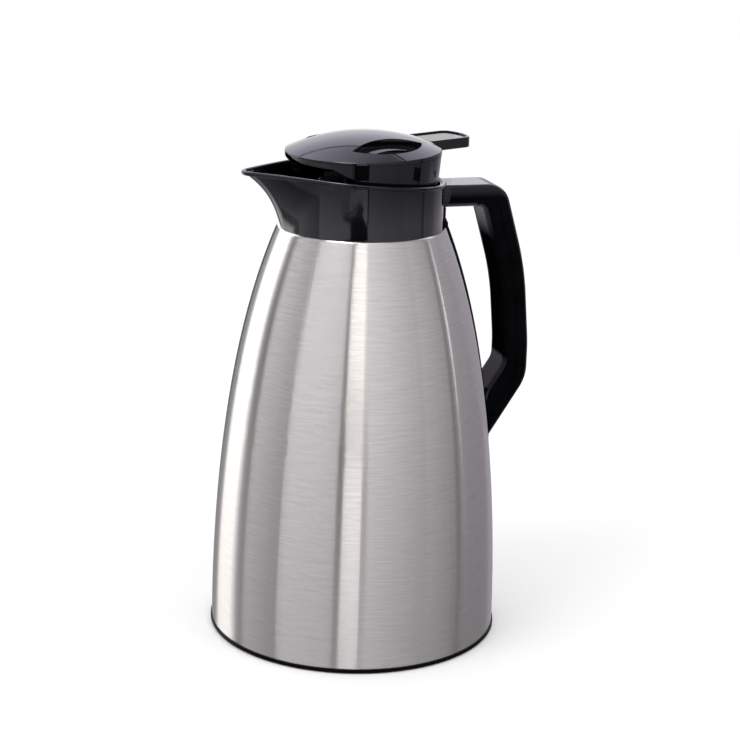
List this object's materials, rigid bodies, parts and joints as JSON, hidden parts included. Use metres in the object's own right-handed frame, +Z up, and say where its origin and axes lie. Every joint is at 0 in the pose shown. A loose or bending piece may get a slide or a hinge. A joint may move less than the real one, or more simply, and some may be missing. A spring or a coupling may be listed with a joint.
{
  "type": "thermal carafe with flip lid",
  "caption": "Double-walled steel carafe with a black pouring collar, closed handle and a lift-out lid whose domed cover flips open with a thumb lever.",
  "frame": {"origin": "centre of the base pad on the surface the jug stands on, on the body's axis", "axes": "+Z up the body's axis, handle towards +X, spout towards -X"},
  "size_m": [0.1643, 0.15, 0.2604],
  "materials": {
    "brushed_steel": "satin stainless steel, brushed round the body",
    "flask_steel": "bright drawn stainless steel",
    "black_gloss": "polished black moulded plastic",
    "black_satin": "satin black moulded plastic",
    "pad_rubber": "soft anti-slip rubber",
    "silicone": "translucent grey silicone",
    "zinc_steel": "zinc-plated steel"
  },
  "bodies": {
    "jug": {"outer_casing": "brushed_steel", "inner_vessel": "flask_steel", "casing_bottom": "flask_steel", "getter": "zinc_steel", "base_cover": "black_satin", "base_pad": "pad_rubber", "pouring_collar": "black_gloss", "collar_seal": "silicone", "neck_ring": "black_satin", "handle_shell": "black_gloss", "handle_insert": "black_gloss", "handle_strap": "black_gloss", "handle_bracket": "flask_steel", "handle_screws": "zinc_steel", "screw_plug": "black_gloss"},
    "stopper_seal": {"lip_seal": "silicone"},
    "lid": {"lid_insert": "black_gloss", "stopper_barrel": "black_satin", "hinge_pin": "zinc_steel", "hinge_spring": "zinc_steel"},
    "flip_cover": {"dome_cover": "black_gloss", "thumb_lever": "black_gloss", "flap_plate": "black_satin", "valve_disc": "black_satin", "valve_gasket": "silicone", "valve_screw": "zinc_steel", "lid_screws": "zinc_steel"}
  },
  "joints": [
    {"name": "lid_lift", "type": "slide", "parent": "jug", "child": "stopper_seal", "axis": [0, 0, 1], "range_m": [0, 0.065]},
    {"name": "lid_turn", "type": "hinge", "parent": "stopper_seal", "child": "lid", "pos_m": [0, 0, 0.2298], "axis": [0, 0, 1], "range_deg": [-17, 60]},
    {"name": "lid_flip", "type": "hinge", "parent": "lid", "child": "flip_cover", "pos_m": [0.03691, 0.01129, 0.2492], "axis": [-0.2924, 0.9563, 0], "range_deg": [0, 35], "stiffness_Nm_per_rad": 0.02, "springref_deg": -28.65}
  ]
}
